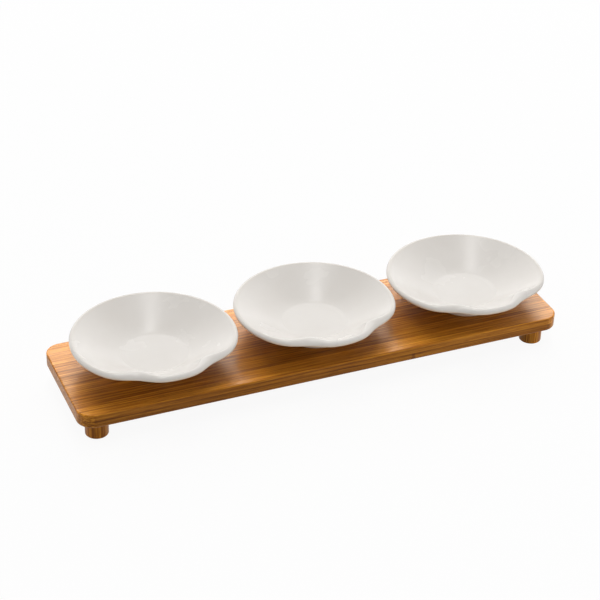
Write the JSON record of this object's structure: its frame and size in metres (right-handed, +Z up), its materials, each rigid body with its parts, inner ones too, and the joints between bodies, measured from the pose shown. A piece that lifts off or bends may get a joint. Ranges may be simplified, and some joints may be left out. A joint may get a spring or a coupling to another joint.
{
  "type": "chip and dip server",
  "caption": "Serving set of round pouring dishes with pinched spouts that stand loose in a row on a low laminated bamboo tray with dowel feet.",
  "frame": {"origin": "on the table, under the centre of the tray's board", "axes": "+X along the tray to the right, +Y to the back, away from the spouts, +Z up"},
  "size_m": [0.3915, 0.1176, 0.0522],
  "materials": {
    "bamboo": "satin varnish",
    "bamboo_foot": "satin varnish",
    "glaze": "satin glaze"
  },
  "bodies": {
    "tray": {"upper_strip_1": "bamboo", "upper_strip_2": "bamboo", "upper_strip_3": "bamboo", "upper_strip_4": "bamboo", "upper_strip_5": "bamboo", "upper_strip_6": "bamboo", "upper_strip_7": "bamboo", "lower_strip_1": "bamboo", "lower_strip_2": "bamboo", "lower_strip_3": "bamboo", "lower_strip_4": "bamboo", "lower_strip_5": "bamboo", "lower_strip_6": "bamboo", "lower_strip_7": "bamboo", "front_left_foot": "bamboo_foot", "front_right_foot": "bamboo_foot", "back_left_foot": "bamboo_foot", "back_right_foot": "bamboo_foot"},
    "left_dish": {"left_dish": "glaze"},
    "middle_dish": {"middle_dish": "glaze"},
    "right_dish": {"right_dish": "glaze"}
  },
  "joints": [
    {"name": "left_dish_lift", "type": "slide", "parent": "tray", "child": "left_dish", "axis": [0, 0, 1], "range_m": [0, 0.12]},
    {"name": "middle_dish_lift", "type": "slide", "parent": "tray", "child": "middle_dish", "axis": [0, 0, 1], "range_m": [0, 0.12]},
    {"name": "right_dish_lift", "type": "slide", "parent": "tray", "child": "right_dish", "axis": [0, 0, 1], "range_m": [0, 0.12]}
  ]
}
